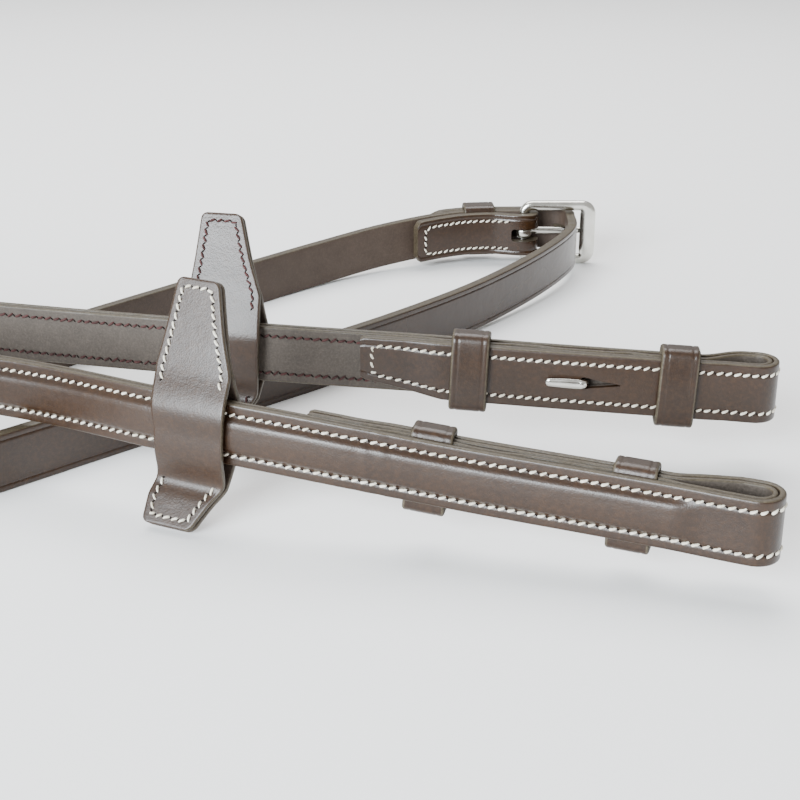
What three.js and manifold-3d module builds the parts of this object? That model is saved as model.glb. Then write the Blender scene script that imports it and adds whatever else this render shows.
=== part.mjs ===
// A pair of leather snaffle reins, buckled together at the hand end and laid on edge on a table.
// Units are millimetres, +Z is up, and the straps stand on their edges.
import * as THREE from 'three';
import { mergeVertices } from 'three/addons/utils/BufferGeometryUtils.js';
import Module from 'manifold-3d';

const wasm = await Module();
wasm.setup();

// Leather sizes
const STRAP_WIDTH = 16;
const FRONT_THICKNESS = 1.5;
const LINING_THICKNESS = 1.3;
const PLAIN_DEPTH = 1.8;          // plain hand part: how far it reaches behind the seam plane
const RAISE = 1.3;                // height of the raised centre over the filler
const FILLER_THICKNESS = 0.95;
const FILLER_MARGIN = 5.1;        // from the strap edge to the filler edge
const GAP = 0.3;                  // between any two pieces that touch
const HALF_GAP = GAP / 2;
const LAYER_ROOM = 0.75;          // room between front and lining for a keeper or a stud plate
const LAYER_INSERT = 0.45;        // thickness of the keeper's web and of the stud plate

// Bit end, measured back from the outside of the fold
const FOLD_RADIUS = 4.3;          // of the seam line in the bit loop
const LOOP_SEPARATION = 3.3;      // seam to seam where the folded end lies flat
const LOOP_MOUTH = 4;             // stretch behind the fold where the loop is fully open
const LOOP_NECK = { buckle_rein: 26, point_rein: 20.5 };    // where the loop has closed again
const FILLER_END = 16;            // filler tapers off before the bit loop
const LOOP_SHARE = { buckle_rein: 0.1, point_rein: 0.9 };   // of the loop's opening, on the main run
const KEEPER_PLACES = {
  buckle_rein: { keeper_near_bit: 33.5, keeper_near_hand: 81.2 },
  point_rein: { keeper_near_bit: 27, keeper_near_hand: 81.2 },
};
const KEEPER_LENGTH = 10;
const KEEPER_WALL = 1.45;
const KEEPER_ROOM = 1.4;          // over and under the strap
const KEEPER_SAG = { buckle_rein: 1.1, point_rein: -0.4 };   // how far they hang off the middle
const STUD_PLACE = 51;
const BILLET_LENGTH = 110;
const BILLET_TAPER = 22;
const BILLET_LIFTED = [12, 20, 88, 98];   // stretch where the billet clears the keepers and the stud
const LINED_LENGTH = 620;
const SKIVE = 25;

// Rein stops
const STOP_THICKNESS = 1.4;
const STOP_PLACES = { buckle_rein: 139.8, point_rein: 148.9 };
const STOP_LEAN = THREE.MathUtils.degToRad(24);     // of the upper flap
const STOP_SPLAY = THREE.MathUtils.degToRad(36);    // of the lower flap
const STOP_TOP = 26.2;
const STOP_BOTTOM = 16;
const STOP_ROOM = { front: 0.8, back: 1.8 };   // between the strap and each sheet
const STOP_HALF_WIDTHS = [5.6, 7.8, 10.1, 9.8, 9.3, 9.3, 9.3, 8.4, 6.6];
const STOP_SWAY = [-2, -0.6, 0.8, 1.6, 1.6, 1.5, 0.4, -1.4, -2.8];   // middle of the sheet, to the bit

// Buckle, centred on its heel bar
const HEEL = { x: 48, y: 231.4 };
const BUCKLE_LENGTH = 29.5;
const BUCKLE_HEIGHT = 25;
const BUCKLE_DEPTH = 3.4;
const BUCKLE_ARM = 3.8;
const FAR_BAR = 6;
const STRAP_LIFT = 4.5;           // strap edge above the table inside the buckle
const CHAPE_RADIUS = 4.1;         // of the seam line round the heel bar
const CHAPE_OFFSET = 5.3;         // seam to seam where the chape lies flat, keeper web between
const CHAPE_LENGTH = 46;
const TIP_OFFSET = 3.75;          // seam to seam between the point and the strap it lies on
const TURN_RADIUS = 7.5;
const BUCKLE_REACH = 60;          // stretch by the buckle where the straps lie close together

// Seam lines of the two reins as x, y and height of the lower edge, from the buckle to the bit end
const BUCKLE_REIN_ROUTE = [
  [48, 235.5, 4.5], [22, 233.8, 4.2], [-5, 221.5, 2.5], [-31, 201.5, 0.6], [-56, 175.5, 0],
  [-80, 147.5, 0], [-104, 119.5, 0], [-128, 91, 0], [-150, 60, 0], [-167, 25, 0],
  [-192, -10, 0], [-233, -30, 0], [-276, -38, 0], [-317, -30, 0], [-350, -5, 0],
  [-368, 34, 0], [-385, 73, 0], [-395, 113, 0], [-377, 150, 0], [-341, 168, 0],
  [-299, 166, 2], [-260, 146, 6.5], [-225, 118, 12.5], [-191, 89, 17], [-157, 62, 18],
  [-124, 42.5, 18], [-90, 28, 18], [-55, 9.8, 18], [-20, -3.4, 16.4], [14, -11.5, 12.8],
  [47, -21, 10.7], [77.3, -31.6, 9.5],
];
const POINT_REIN_ROUTE = [
  [63.8, 210, 4.2], [49.5, 182.5, 3], [27, 152.5, 1.2], [1, 124, 0.2], [-26, 97, 0],
  [-54, 71.5, 0], [-82, 45.5, 0], [-110, 19, 0], [-141, -8, 0], [-178, -29, 0],
  [-221, -42.5, 0], [-266, -50, 0], [-310, -45.5, 0], [-347, -26, 0], [-371, 7, 0],
  [-388, 45, 0], [-404, 83, 0], [-407, 124, 0], [-386, 160, 0], [-348, 179.5, 0],
  [-305, 179.5, 0.5], [-264, 163, 4], [-229, 137, 9.5], [-197, 113, 15], [-165, 94, 18.3],
  [-132, 79.5, 19], [-98, 70, 19], [-62, 62, 18.7], [-27, 54.8, 18.5], [9, 49.6, 17.8],
  [43, 45.8, 16.4], [93.5, 41, 14.3],
];

const LEATHER = { color: 0x4a3a33, roughness: 0.42, metalness: 0 };
const LINING = { color: 0x6c645f, roughness: 0.8, metalness: 0 };
const METAL = { color: 0xc6c6c0, roughness: 0.25, metalness: 1 };

const reins = new THREE.Group();

function addMesh(name, geometry, look) {
  const mesh = new THREE.Mesh(geometry, new THREE.MeshStandardMaterial(look));
  mesh.name = name;
  reins.add(mesh);
}

// ---- solids -------------------------------------------------------------------------------------

// Closed solid through rows of points: each ring has an outer chain and an inner chain of one length.
function skin(rings) {
  const positions = [];
  const faces = [];
  const chain = rings[0].outer.length;
  const count = chain * 2;
  for (const ring of rings) {
    for (const point of [...ring.outer, ...[...ring.inner].reverse()]) {
      positions.push(point.x, point.y, point.z);
    }
  }
  for (let i = 0; i + 1 < rings.length; i++) {
    for (let j = 0; j < count; j++) {
      const next = (j + 1) % count;
      const a = i * count;
      const b = a + count;
      faces.push([a + j, a + next, b + next], [a + j, b + next, b + j]);
    }
  }
  const last = (rings.length - 1) * count;
  for (let j = 0; j + 1 < chain; j++) {
    const quad = [j, j + 1, count - 2 - j, count - 1 - j];
    faces.push([quad[0], quad[2], quad[1]], [quad[0], quad[3], quad[2]]);
    const end = quad.map((index) => index + last);
    faces.push([end[0], end[1], end[2]], [end[0], end[2], end[3]]);
  }
  return orient(positions, faces);
}

// Turns every face outwards, judged by the sign of the enclosed volume.
function orient(positions, faces) {
  const corner = (index) => new THREE.Vector3().fromArray(positions, index * 3);
  let volume = 0;
  for (const [a, b, c] of faces) {
    volume += corner(a).dot(corner(b).cross(corner(c)));
  }
  const index = faces.flatMap(([a, b, c]) => (volume > 0 ? [a, b, c] : [a, c, b]));
  const geometry = new THREE.BufferGeometry();
  geometry.setAttribute('position', new THREE.Float32BufferAttribute(positions, 3));
  geometry.setIndex(index);
  geometry.computeVertexNormals();
  return geometry;
}

function toManifold(geometry) {
  const bare = geometry.clone();
  bare.deleteAttribute('normal');
  bare.deleteAttribute('uv');
  const merged = mergeVertices(bare, 1e-5);
  return new wasm.Manifold(new wasm.Mesh({
    numProp: 3,
    vertProperties: new Float32Array(merged.attributes.position.array),
    triVerts: new Uint32Array(merged.index.array),
  }));
}

function fromManifold(solid) {
  const mesh = solid.getMesh();
  const geometry = new THREE.BufferGeometry();
  geometry.setAttribute('position', new THREE.Float32BufferAttribute(mesh.vertProperties, 3));
  geometry.setIndex(Array.from(mesh.triVerts));
  geometry.computeVertexNormals();
  return geometry;
}

function cut(geometry, cutters) {
  const solid = cutters.reduce((rest, tool) => rest.subtract(toManifold(tool)), toManifold(geometry));
  return fromManifold(solid);
}

function join(geometries) {
  return fromManifold(geometries.map(toManifold).reduce((a, b) => a.add(b)));
}

// ---- seam lines ---------------------------------------------------------------------------------

// Smooth curve through the points, as closely spaced points with their distance along it.
function trace(route) {
  const curve = new THREE.CatmullRomCurve3(route.map((p) => new THREE.Vector3(...p)), false, 'catmullrom', 0.5);
  const samples = curve.getPoints(route.length * 40);
  let along = 0;
  return samples.map((point, i) => {
    point.setZ(Math.max(point.z, 0));
    if (i > 0) {
      along += Math.hypot(point.x - samples[i - 1].x, point.y - samples[i - 1].y);
    }
    return { point, along };
  });
}

function pointAt(line, along) {
  const end = line.findIndex((sample) => sample.along > along);
  const i = end < 0 ? line.length - 1 : Math.max(end, 1);
  const from = line[i - 1];
  const to = line[i];
  return from.point.clone().lerp(to.point, (along - from.along) / (to.along - from.along));
}

// Point beside the line, offset to its left (positive) or right (negative).
function beside(line, along, offset) {
  const ahead = pointAt(line, along + 0.5);
  const behind = pointAt(line, along - 0.5);
  const step = ahead.clone().sub(behind).setZ(0).normalize();
  const point = pointAt(line, along);
  return new THREE.Vector3(point.x - step.y * offset, point.y + step.x * offset, point.z);
}

function ease(from, to, value) {
  return THREE.MathUtils.smoothstep(value, from, to);
}

// 1 where the strap is thickened round one of the places on it, 0 away from them.
function thickened(fromFold, places) {
  return Math.max(...places.map((place) => 1 - ease(5.8, 12.5, Math.abs(fromFold - place))));
}

// How far the two runs of the folded end spread apart to open the bit loop.
function loopBulge(fromFold, neck) {
  return (2 * FOLD_RADIUS - LOOP_SEPARATION) * (1 - ease(FOLD_RADIUS + LOOP_MOUTH, neck, fromFold));
}

// How far the billet stands off to clear the keepers' webs and the stud plate.
function billetLift(fromFold) {
  const [start, full, fading, end] = BILLET_LIFTED;
  return LAYER_ROOM * ease(start, full, fromFold) * (1 - ease(fading, end, fromFold));
}

const FOLD_OUTSIDE = FOLD_RADIUS + HALF_GAP + FRONT_THICKNESS;

// Adds tangent, grain direction and slope to a row of points. Grain is +1 on the left, -1 on the right.
function stationsOf(points, grain) {
  return points.map((entry, i) => {
    const ahead = points[Math.min(i + 1, points.length - 1)].point;
    const behind = points[Math.max(i - 1, 0)].point;
    const step = ahead.clone().sub(behind);
    const flat = Math.hypot(step.x, step.y);
    const tangent = new THREE.Vector3(step.x / flat, step.y / flat, step.z / flat);
    const side = new THREE.Vector3(-tangent.y * grain, tangent.x * grain, 0);
    return { ...entry, tangent, side };
  });
}

// Bit end of a rein: main run, fold and billet run back on the flesh side.
function bitEnd(line, grain, from, rein) {
  const share = LOOP_SHARE[rein];
  const neck = LOOP_NECK[rein];
  const total = line.at(-1).along;
  const points = [];
  const coarse = 14;
  const fine = 4.5;
  const fineFrom = total - BILLET_LENGTH - 12;
  for (let s = from; s < fineFrom; s += s < BUCKLE_REACH ? fine : coarse) {
    points.push({ point: pointAt(line, s), fromFold: total + FOLD_OUTSIDE - s, run: 'main' });
  }
  for (let s = fineFrom; s < total; s += fine) {
    const fromFold = total + FOLD_OUTSIDE - s;
    points.push({ point: beside(line, s, grain * share * loopBulge(fromFold, neck)), fromFold, run: 'main' });
  }
  const centre = beside(line, total, grain * (share * loopBulge(0, neck) - FOLD_RADIUS));
  const onward = pointAt(line, total).sub(pointAt(line, total - 1)).setZ(0).normalize();
  const out = new THREE.Vector3(-onward.y * grain, onward.x * grain, 0);
  const arcSteps = 8;
  for (let i = 0; i <= arcSteps; i++) {
    const turn = (i / arcSteps) * Math.PI;
    const point = centre.clone().addScaledVector(out, Math.cos(turn) * FOLD_RADIUS);
    point.addScaledVector(onward, Math.sin(turn) * FOLD_RADIUS);
    points.push({ point, fromFold: FOLD_OUTSIDE - Math.sin(turn) * FOLD_RADIUS, run: 'fold' });
  }
  const billetEnd = total + FOLD_OUTSIDE - BILLET_LENGTH;
  for (let s = total - fine; s > billetEnd; s -= fine) {
    const fromFold = total + FOLD_OUTSIDE - s;
    const away = LOOP_SEPARATION + billetLift(fromFold) + (1 - share) * loopBulge(fromFold, neck);
    points.push({ point: beside(line, s, -grain * away), fromFold, run: 'billet' });
  }
  return points;
}

const buckleLine = trace(BUCKLE_REIN_ROUTE);

// Chape: lies on the flesh side of its own strap and turns round the heel bar.
function buckleReinPoints() {
  const points = [];
  const start = CHAPE_LENGTH;
  for (let s = start; s > 1; s -= 4) {
    const spread = (2 * CHAPE_RADIUS - CHAPE_OFFSET) * (1 - ease(0, 13, s));
    points.push({ point: beside(buckleLine, s, CHAPE_OFFSET + spread), run: 'chape' });
  }
  for (let i = 0; i <= 8; i++) {
    const turn = (i / 8) * Math.PI - Math.PI / 2;
    const x = HEEL.x + Math.cos(turn) * CHAPE_RADIUS;
    const y = HEEL.y + Math.sin(turn) * CHAPE_RADIUS;
    points.push({ point: new THREE.Vector3(x, y, STRAP_LIFT), run: 'chape' });
  }
  return [...points, ...bitEnd(buckleLine, -1, 4, 'buckle_rein')];
}

// Point: lies on the grain side of the other rein's strap, then turns inside the buckle's far bar.
function pointReinPoints() {
  const points = [];
  const centre = { x: HEEL.x + 10.5, y: HEEL.y + CHAPE_RADIUS + TIP_OFFSET - TURN_RADIUS };
  for (let s = 42; s > 0; s -= 4.5) {
    points.push({ point: beside(buckleLine, s, -TIP_OFFSET), run: 'tip' });
  }
  for (let i = 0; i <= 10; i++) {
    const turn = Math.PI / 2 - (i / 10) * (Math.PI / 2);
    const x = centre.x + Math.cos(turn) * TURN_RADIUS;
    const y = centre.y + Math.sin(turn) * TURN_RADIUS;
    points.push({ point: new THREE.Vector3(x, y, STRAP_LIFT), run: 'tip' });
  }
  return { points, end: points.at(-1).point };
}

const tip = pointReinPoints();
const pointLine = trace([[tip.end.x, tip.end.y, tip.end.z], ...POINT_REIN_ROUTE]);

// ---- straps -------------------------------------------------------------------------------------

function ringAt(station, section) {
  const place = ([across, up]) => station.point.clone()
    .addScaledVector(station.side, across)
    .add(new THREE.Vector3(0, 0, up));
  return { outer: section.outer.map(place), inner: section.inner.map(place) };
}

// How much of the lined build a station has: 0 in the plain hand part, 1 in the lined part.
function linedShare(station) {
  return station.fromFold === undefined ? 0 : 1 - ease(LINED_LENGTH, LINED_LENGTH + SKIVE, station.fromFold);
}

function fillerShare(station) {
  return station.run === 'main' ? linedShare(station) * ease(FILLER_END, FILLER_END + 8, station.fromFold) : 0;
}

// Lower and upper edge of the strap, narrowed towards the point of the billet and of the rein.
function edges(station, pointShare) {
  let low = 0;
  let high = STRAP_WIDTH;
  if (station.run === 'billet') {
    const share = ease(BILLET_LENGTH - BILLET_TAPER, BILLET_LENGTH + 4, station.fromFold);
    low += 4.2 * share;
    high -= 1.4 * share;
  }
  return { low: low + 3.5 * pointShare, high: high - 3.5 * pointShare };
}

function strapSection(station, pointShare) {
  const raise = RAISE * fillerShare(station);
  const back = THREE.MathUtils.lerp(-PLAIN_DEPTH, HALF_GAP, linedShare(station));
  const front = HALF_GAP + FRONT_THICKNESS;
  const { low, high } = edges(station, pointShare);
  const width = high - low;
  const chain = (base, lift, step, top) => [
    [base, low], [base, low + step * width], [base + lift, low + top * width],
    [base + lift, high - top * width], [base, high - step * width], [base, high],
  ];
  return { outer: chain(front, raise, 0.18, 0.27), inner: chain(back, raise, 0.225, 0.305) };
}

function ribbonSection(near, far, low, high) {
  return { outer: [[near, low], [near, high]], inner: [[far, low], [far, high]] };
}

function liningSection(station, places) {
  const lift = station.run === 'main' ? thickened(station.fromFold, places) * LAYER_ROOM : 0;
  const near = -HALF_GAP - lift;
  const { low, high } = edges(station, 0);
  return ribbonSection(near, near - LINING_THICKNESS, low + 0.1, high - 0.1);
}

function fillerSection() {
  return ribbonSection(HALF_GAP + FILLER_THICKNESS, HALF_GAP, FILLER_MARGIN, STRAP_WIDTH - FILLER_MARGIN);
}

// ---- fittings on the strap ----------------------------------------------------------------------

// Matrix of a frame on the strap: x to the grain side, y up from the lower edge, z along the strap.
function frameOn(line, grain, fromFold) {
  const along = line.at(-1).along + FOLD_OUTSIDE - fromFold;
  const tangent = pointAt(line, along + 0.5).sub(pointAt(line, along - 0.5)).normalize();
  const side = new THREE.Vector3(-tangent.y * grain, tangent.x * grain, 0).normalize();
  const up = tangent.clone().cross(side).multiplyScalar(grain);
  const matrix = new THREE.Matrix4().makeBasis(side, up, side.clone().cross(up));
  return { matrix: matrix.setPosition(pointAt(line, along)), towardsBit: grain };
}

// Band with a rectangular hole, run along z of its frame.
function band(inner, outer, length) {
  const outline = (box, radius) => {
    const shape = new THREE.Shape();
    shape.moveTo(box.x0 + radius, box.y0);
    shape.lineTo(box.x1 - radius, box.y0);
    shape.lineTo(box.x1, box.y0 + radius);
    shape.lineTo(box.x1, box.y1 - radius);
    shape.lineTo(box.x1 - radius, box.y1);
    shape.lineTo(box.x0 + radius, box.y1);
    shape.lineTo(box.x0, box.y1 - radius);
    shape.lineTo(box.x0, box.y0 + radius);
    shape.closePath();
    return shape;
  };
  const shape = outline(outer, 0.8);
  shape.holes.push(outline(inner, 0.1));
  const geometry = new THREE.ExtrudeGeometry(shape, { depth: length, bevelEnabled: false });
  return geometry.translate(0, 0, -length / 2);
}

const BILLET_GRAIN = -(LOOP_SEPARATION + LAYER_ROOM + HALF_GAP + FRONT_THICKNESS);
const BETWEEN_LININGS = -(LAYER_ROOM + HALF_GAP + LINING_THICKNESS + 0.2);

function keeper(sag) {
  const y0 = -KEEPER_ROOM - sag;
  const y1 = STRAP_WIDTH + KEEPER_ROOM - sag;
  const inner = { x0: BILLET_GRAIN - GAP, x1: -HALF_GAP - LAYER_INSERT, y0, y1 };
  const outer = { x0: inner.x0 - KEEPER_WALL, x1: -HALF_GAP, y0: y0 - KEEPER_WALL, y1: y1 + KEEPER_WALL };
  return band(inner, outer, KEEPER_LENGTH);
}

function cylinderAcross(radius, from, to, sides) {
  const geometry = new THREE.CylinderGeometry(radius, radius, Math.abs(to - from), sides);
  return geometry.rotateZ(Math.PI / 2).translate((from + to) / 2, STRAP_WIDTH / 2, 0);
}

// Hook bar with a rounded tip that points to the hand end, on a round shank.
function hookStud(towardsBit) {
  const shank = cylinderAcross(1.1, -HALF_GAP - 0.2, BILLET_GRAIN - 0.8, 12);
  const shape = new THREE.Shape();
  shape.moveTo(-9.5, -0.9);
  shape.lineTo(1.2, -1.7);
  shape.lineTo(2.0, -0.9);
  shape.lineTo(2.0, 0.9);
  shape.lineTo(1.2, 1.7);
  shape.lineTo(-9.5, 0.9);
  shape.lineTo(-10.1, 0);
  shape.closePath();
  const bar = new THREE.ExtrudeGeometry(shape, {
    depth: 0.7, bevelEnabled: true, bevelThickness: 0.35, bevelSize: 0.35, bevelOffset: -0.2, bevelSegments: 1,
  });
  bar.rotateY((-Math.PI / 2) * towardsBit);
  const lowest = towardsBit > 0 ? BILLET_GRAIN - GAP - 0.35 : BILLET_GRAIN - GAP - 1.05;
  bar.translate(lowest, STRAP_WIDTH / 2, 0);
  return join([shank, bar]);
}

function studPlate() {
  const plate = cylinderAcross(3.9, -HALF_GAP - LAYER_INSERT, -HALF_GAP, 20);
  return cut(plate, [cylinderAcross(1.4, -2, 1, 12)]);
}

function boxAcross(x0, x1, height, z0, z1) {
  const box = new THREE.BoxGeometry(x1 - x0, height, z1 - z0);
  return box.translate((x0 + x1) / 2, STRAP_WIDTH / 2, (z0 + z1) / 2);
}

// ---- rein stop ----------------------------------------------------------------------------------

// One leather sheet of a stop; side is +1 on the grain face and -1 on the lined face of the strap.
function stopSheet(side, lean, towardsBit) {
  const strapFace = side > 0 ? HALF_GAP + FRONT_THICKNESS + RAISE : -HALF_GAP - LINING_THICKNESS;
  const room = side > 0 ? STOP_ROOM.front : STOP_ROOM.back;
  const belly = strapFace + side * (room + STOP_THICKNESS / 2);
  const apart = side * (0.25 + STOP_THICKNESS / 2);
  // Point of a flap above (end 1) or below (end -1) the strap; a flap that leans to the grain side
  // starts further out, because its other sheet has to wrap round the edge of the strap first.
  const flap = (end, reach) => {
    const wraps = end * lean > 0;
    const angle = end > 0 ? STOP_LEAN : STOP_SPLAY;
    const root = (STRAP_WIDTH + end * (STRAP_WIDTH + (wraps ? 7.2 : 3.2))) / 2;
    return new THREE.Vector3(
      (wraps ? -0.9 : 0.75) + apart * Math.cos(angle) + end * lean * reach * Math.sin(angle),
      root + end * reach * Math.cos(angle) - apart * lean * Math.sin(angle), 0);
  };
  const knots = [
    flap(1, STOP_TOP), flap(1, 14), flap(1, 4.4),
    new THREE.Vector3(belly, 13.5, 0), new THREE.Vector3(belly, 8, 0), new THREE.Vector3(belly, 2.5, 0),
    flap(-1, 4), flap(-1, 9), flap(-1, STOP_BOTTOM),
  ];
  const curve = new THREE.CatmullRomCurve3(knots, false, 'centripetal');
  const steps = (knots.length - 1) * 3;
  const rings = [];
  for (let i = 0; i <= steps; i++) {
    const share = i / steps;
    const centre = curve.getPoint(share);
    const run = curve.getTangent(share);
    const across = new THREE.Vector3(run.y, -run.x, 0).normalize().multiplyScalar(STOP_THICKNESS / 2);
    const knot = Math.min(Math.floor(i / 3), knots.length - 2);
    const between = (values) => THREE.MathUtils.lerp(values[knot], values[knot + 1], i / 3 - knot);
    const half = between(STOP_HALF_WIDTHS);
    const middle = between(STOP_SWAY) * towardsBit;
    const edge = (z) => [centre.clone().add(across).setZ(z), centre.clone().sub(across).setZ(z)];
    const [outerLow, innerLow] = edge(middle - half);
    const [outerHigh, innerHigh] = edge(middle + half);
    rings.push({ outer: [outerLow, outerHigh], inner: [innerLow, innerHigh] });
  }
  return skin(rings);
}

// ---- the reins ----------------------------------------------------------------------------------

function addRein(name, stations, line, grain, stopLean, buckleCuts) {
  const studFrame = frameOn(line, grain, STUD_PLACE);
  const placed = (geometry, frame) => geometry.applyMatrix4(frame.matrix);
  const slitEnds = grain > 0 ? [-1.7, 9.5] : [-9.5, 1.7];
  const slit = placed(boxAcross(BILLET_GRAIN - 2, BETWEEN_LININGS, 3.2, ...slitEnds), studFrame);
  const liningHole = placed(cylinderAcross(1.5, BETWEEN_LININGS, -0.5, 12), studFrame);

  const tipLength = 12;
  const straps = stations.map((station, i) => {
    const fromEnd = station.run === 'tip' ? stations[0].point.distanceTo(station.point) : tipLength;
    return ringAt(station, strapSection(station, 1 - ease(0, tipLength, fromEnd)));
  });
  addMesh(`${name}_strap`, cut(skin(straps), [slit, ...buckleCuts]), LEATHER);

  const lined = stations.filter((station) => station.fromFold !== undefined && linedShare(station) > 0.999);
  const places = [...Object.values(KEEPER_PLACES[name]), STUD_PLACE];
  const lining = skin(lined.map((station) => ringAt(station, liningSection(station, places))));
  addMesh(`${name}_lining`, cut(lining, [slit, liningHole]), LINING);

  const filled = lined.filter((station) => fillerShare(station) > 0.999).slice(1, -1);
  addMesh(`${name}_filler`, skin(filled.map((station) => ringAt(station, fillerSection()))), LINING);

  for (const [keeperName, place] of Object.entries(KEEPER_PLACES[name])) {
    addMesh(`${name}_${keeperName}`, placed(keeper(KEEPER_SAG[name]), frameOn(line, grain, place)), LEATHER);
  }
  addMesh(`${name}_hook_stud`, placed(hookStud(grain), studFrame), METAL);
  addMesh(`${name}_stud_plate`, placed(studPlate(), studFrame), METAL);

  const stopFrame = frameOn(line, grain, STOP_PLACES[name]);
  addMesh(`${name}_stop_front`, placed(stopSheet(1, stopLean, grain), stopFrame), LEATHER);
  addMesh(`${name}_stop_back`, placed(stopSheet(-1, stopLean, grain), stopFrame), LEATHER);
}

const strapCentre = STRAP_LIFT + STRAP_WIDTH / 2;

function boxAt(x0, x1, y0, y1, halfHeight) {
  const box = new THREE.BoxGeometry(x1 - x0, y1 - y0, 2 * halfHeight);
  return box.translate((x0 + x1) / 2, (y0 + y1) / 2, strapCentre);
}

const chapeSlot = boxAt(HEEL.x - 5, HEEL.x + 8, HEEL.y - 9, HEEL.y + 7, 2.4);
const prongHole = boxAt(HEEL.x + 12, HEEL.x + 21.5, HEEL.y + 0.4, HEEL.y + 6, 2.0);

const buckleStations = stationsOf(buckleReinPoints(), -1);
const pointEnd = bitEnd(pointLine, 1, 5, 'point_rein');
const pointStations = stationsOf([...tip.points, ...pointEnd], 1);
addRein('buckle_rein', buckleStations, buckleLine, -1, -1, [chapeSlot]);
addRein('point_rein', pointStations, pointLine, 1, 1, [prongHole]);

// ---- buckle -------------------------------------------------------------------------------------

// Rounded frame in the plane of the strap, with a slim heel bar and a broad far bar.
function buckleFrame() {
  const half = BUCKLE_DEPTH / 2;
  const bevel = 0.9;
  const corner = 3;
  const inner = { x0: half, x1: BUCKLE_LENGTH - half - FAR_BAR, y0: BUCKLE_ARM, y1: BUCKLE_HEIGHT - BUCKLE_ARM };
  const outer = { x0: -half, x1: BUCKLE_LENGTH - half, y0: 0, y1: BUCKLE_HEIGHT };
  const rounded = (box, radius, inset) => {
    const [x0, x1, y0, y1] = [box.x0 + inset, box.x1 - inset, box.y0 + inset, box.y1 - inset];
    const path = new THREE.Shape();
    path.moveTo(x0 + radius, y0);
    path.lineTo(x1 - radius, y0);
    path.absarc(x1 - radius, y0 + radius, radius, -Math.PI / 2, 0);
    path.absarc(x1 - radius, y1 - radius, radius, 0, Math.PI / 2);
    path.absarc(x0 + radius, y1 - radius, radius, Math.PI / 2, Math.PI);
    path.absarc(x0 + radius, y0 + radius, radius, Math.PI, 1.5 * Math.PI);
    return path;
  };
  const shape = rounded(outer, corner, bevel);
  shape.holes.push(rounded(inner, 1.2, -bevel));
  const geometry = new THREE.ExtrudeGeometry(shape, {
    depth: BUCKLE_DEPTH - 2 * bevel, curveSegments: 3, bevelEnabled: true,
    bevelThickness: bevel, bevelSize: bevel, bevelSegments: 1,
  });
  geometry.translate(0, 0, -half + bevel).rotateX(Math.PI / 2);
  return geometry.translate(HEEL.x, HEEL.y, 0);
}

// Prong: an eye round the heel bar and a tapered bar that rests on the far bar.
function buckleProng() {
  const eyeHeight = 3.4;
  const eye = new THREE.CylinderGeometry(3.3, 3.3, eyeHeight, 24).rotateX(Math.PI / 2);
  const bore = new THREE.CylinderGeometry(2.2, 2.2, eyeHeight + 2, 24).rotateX(Math.PI / 2);
  const shape = new THREE.Shape();
  const rest = BUCKLE_DEPTH / 2 + GAP;
  shape.moveTo(1.2, 2.35);
  shape.lineTo(4, rest - 0.3);
  shape.lineTo(20, rest);
  shape.lineTo(27.2, rest);
  shape.lineTo(28, rest + 0.9);
  shape.lineTo(27.2, rest + 1.7);
  shape.lineTo(20, rest + 1.9);
  shape.lineTo(4, rest + 1.8);
  shape.lineTo(1.2, 3.1);
  shape.closePath();
  const barHeight = 2.6;
  const bar = new THREE.ExtrudeGeometry(shape, { depth: barHeight, bevelEnabled: false });
  bar.translate(0, 0, -barHeight / 2);
  const prong = cut(join([eye, bar]), [bore]);
  return prong.translate(HEEL.x, HEEL.y, strapCentre);
}

// Keeper that holds the point of the strap against the other rein, its web behind the chape.
function handKeeper() {
  const room = 0.45;
  const wall = 1.3;
  const pointGrain = TIP_OFFSET + HALF_GAP + FRONT_THICKNESS;
  const inner = { x0: -PLAIN_DEPTH - room, x1: pointGrain + room, y0: -room, y1: STRAP_WIDTH + room };
  const outer = { x0: inner.x0 - 0.8, x1: inner.x1 + wall, y0: inner.y0 - wall, y1: inner.y1 + wall };
  const fromFold = buckleLine.at(-1).along + FOLD_OUTSIDE - 17;
  return band(inner, outer, 12).applyMatrix4(frameOn(buckleLine, -1, fromFold).matrix);
}

addMesh('buckle_frame', buckleFrame(), METAL);
addMesh('buckle_prong', buckleProng(), METAL);
addMesh('hand_keeper', handKeeper(), LEATHER);

// The origin is under the middle of the whole pair, at table height.
const extent = new THREE.Box3().setFromObject(reins);
const middle = extent.getCenter(new THREE.Vector3());
reins.position.set(-middle.x, -middle.y, -extent.min.z);

export default reins;
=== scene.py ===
import math

import bmesh
import bpy
import numpy as np
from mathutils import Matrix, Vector


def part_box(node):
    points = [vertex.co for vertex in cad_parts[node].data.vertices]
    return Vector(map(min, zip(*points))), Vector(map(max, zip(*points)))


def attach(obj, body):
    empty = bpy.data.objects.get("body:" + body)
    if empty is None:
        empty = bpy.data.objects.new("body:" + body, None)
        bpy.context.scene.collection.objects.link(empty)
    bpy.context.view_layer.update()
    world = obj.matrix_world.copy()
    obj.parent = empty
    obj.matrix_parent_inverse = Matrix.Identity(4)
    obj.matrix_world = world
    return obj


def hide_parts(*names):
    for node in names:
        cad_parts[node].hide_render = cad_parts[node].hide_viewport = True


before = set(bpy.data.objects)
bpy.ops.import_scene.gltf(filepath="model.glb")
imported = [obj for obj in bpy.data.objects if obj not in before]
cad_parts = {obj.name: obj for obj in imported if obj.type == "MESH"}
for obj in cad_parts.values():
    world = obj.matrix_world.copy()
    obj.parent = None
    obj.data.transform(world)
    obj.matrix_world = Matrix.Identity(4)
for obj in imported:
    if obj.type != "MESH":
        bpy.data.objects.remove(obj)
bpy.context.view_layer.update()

MM = 0.001

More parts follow.
